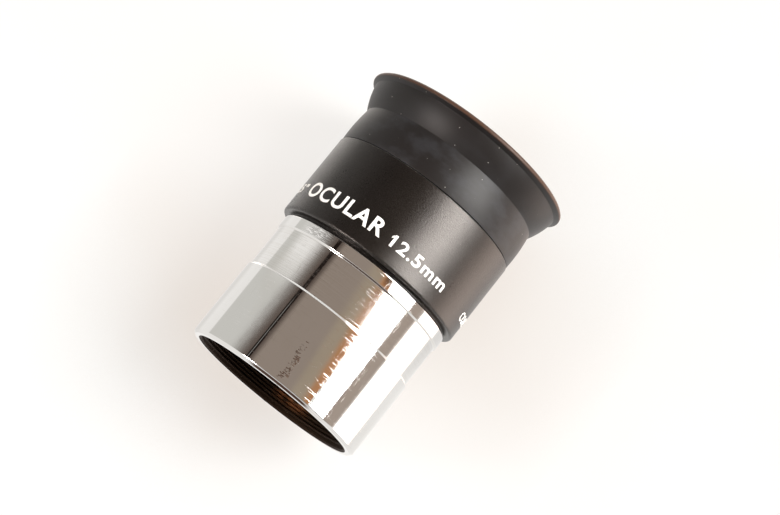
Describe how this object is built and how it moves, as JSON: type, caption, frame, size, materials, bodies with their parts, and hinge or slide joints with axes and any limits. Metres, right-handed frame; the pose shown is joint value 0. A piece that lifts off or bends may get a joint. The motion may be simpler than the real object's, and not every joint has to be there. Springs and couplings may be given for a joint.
{
  "type": "telescope eyepiece",
  "caption": "Telescope eyepiece: chrome push-fit nosepiece with safety undercut, black housing, fold-down rubber eyecup and a two-doublet lens cell.",
  "frame": {"origin": "centre of the nosepiece's open end face, on the optical axis; the eyepiece stands on this face", "axes": "+Z along the optical axis towards the eye; the marking on the housing faces -Y"},
  "size_m": [0.0378, 0.0378, 0.051],
  "materials": {
    "chrome_plate": "polished chrome plate with fine turning lines and handling scratches",
    "black_anodised": "satin black anodised aluminium",
    "matt_black": "matt black, for the inside of the light path",
    "eyecup_rubber": "matt moulded rubber with dust",
    "coated_glass": "polished optical glass with an anti-reflection coating",
    "white_print": "white printed marking, slightly worn"
  },
  "bodies": {
    "eyepiece": {"nosepiece": "chrome_plate", "housing": "black_anodised", "eyecup_band": "eyecup_rubber", "eyecup_skirt": "eyecup_rubber", "lens_cell": "matt_black", "eye_lens_flint": "coated_glass", "eye_lens_crown": "coated_glass", "lens_spacer": "matt_black", "field_lens_crown": "coated_glass", "field_lens_flint": "coated_glass", "cell_retaining_ring": "matt_black", "field_stop_disc": "matt_black", "field_stop_ring": "matt_black"},
    "eyecup_lip": {"eyecup_rim": "eyecup_rubber"}
  },
  "joints": [
    {"name": "eyecup_fold", "type": "slide", "parent": "eyepiece", "child": "eyecup_lip", "axis": [0, 0, -1], "range_m": [0, 0.00989], "deforming": ["eyecup_skirt"]}
  ]
}
